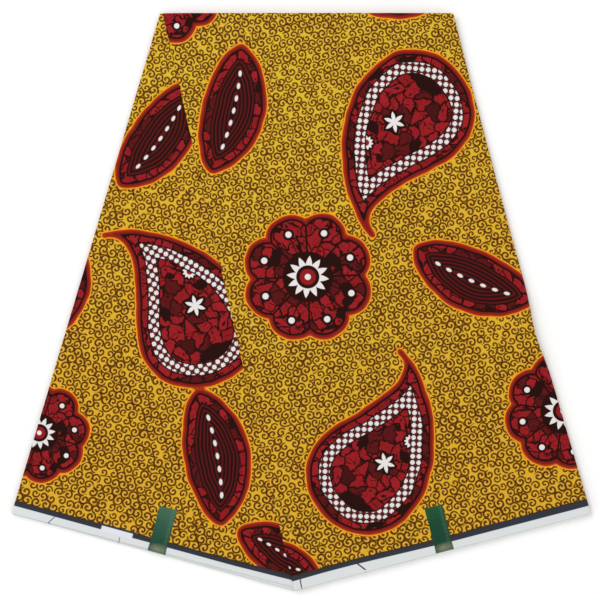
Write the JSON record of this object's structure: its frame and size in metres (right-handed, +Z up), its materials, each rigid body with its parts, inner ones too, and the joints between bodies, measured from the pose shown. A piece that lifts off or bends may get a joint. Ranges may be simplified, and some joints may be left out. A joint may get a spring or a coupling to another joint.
{
  "type": "folded wax print fabric",
  "caption": "Length of printed cotton cloth folded into two fanned stacks of leaves, lying flat, with labels on its selvedge.",
  "frame": {"origin": "middle of the footprint, on the surface that the cloth lies on", "axes": "+Z up off the surface, +Y towards the straight top fold, +X to the right of the front"},
  "size_m": [0.6038, 0.6019, 0.0128],
  "materials": {
    "printed_cotton": "plain-woven cotton with a wax print on both faces, lightly glazed",
    "folded_cotton": "the same printed cotton, seen as folds and ply ends",
    "label_foil": "dark green adhesive foil label, satin, slightly crinkled"
  },
  "bodies": {
    "root": {"inner_folds": "folded_cotton", "left_leaf": "printed_cotton", "right_leaf": "printed_cotton", "left_label": "label_foil", "right_label": "label_foil"}
  },
  "joints": []
}
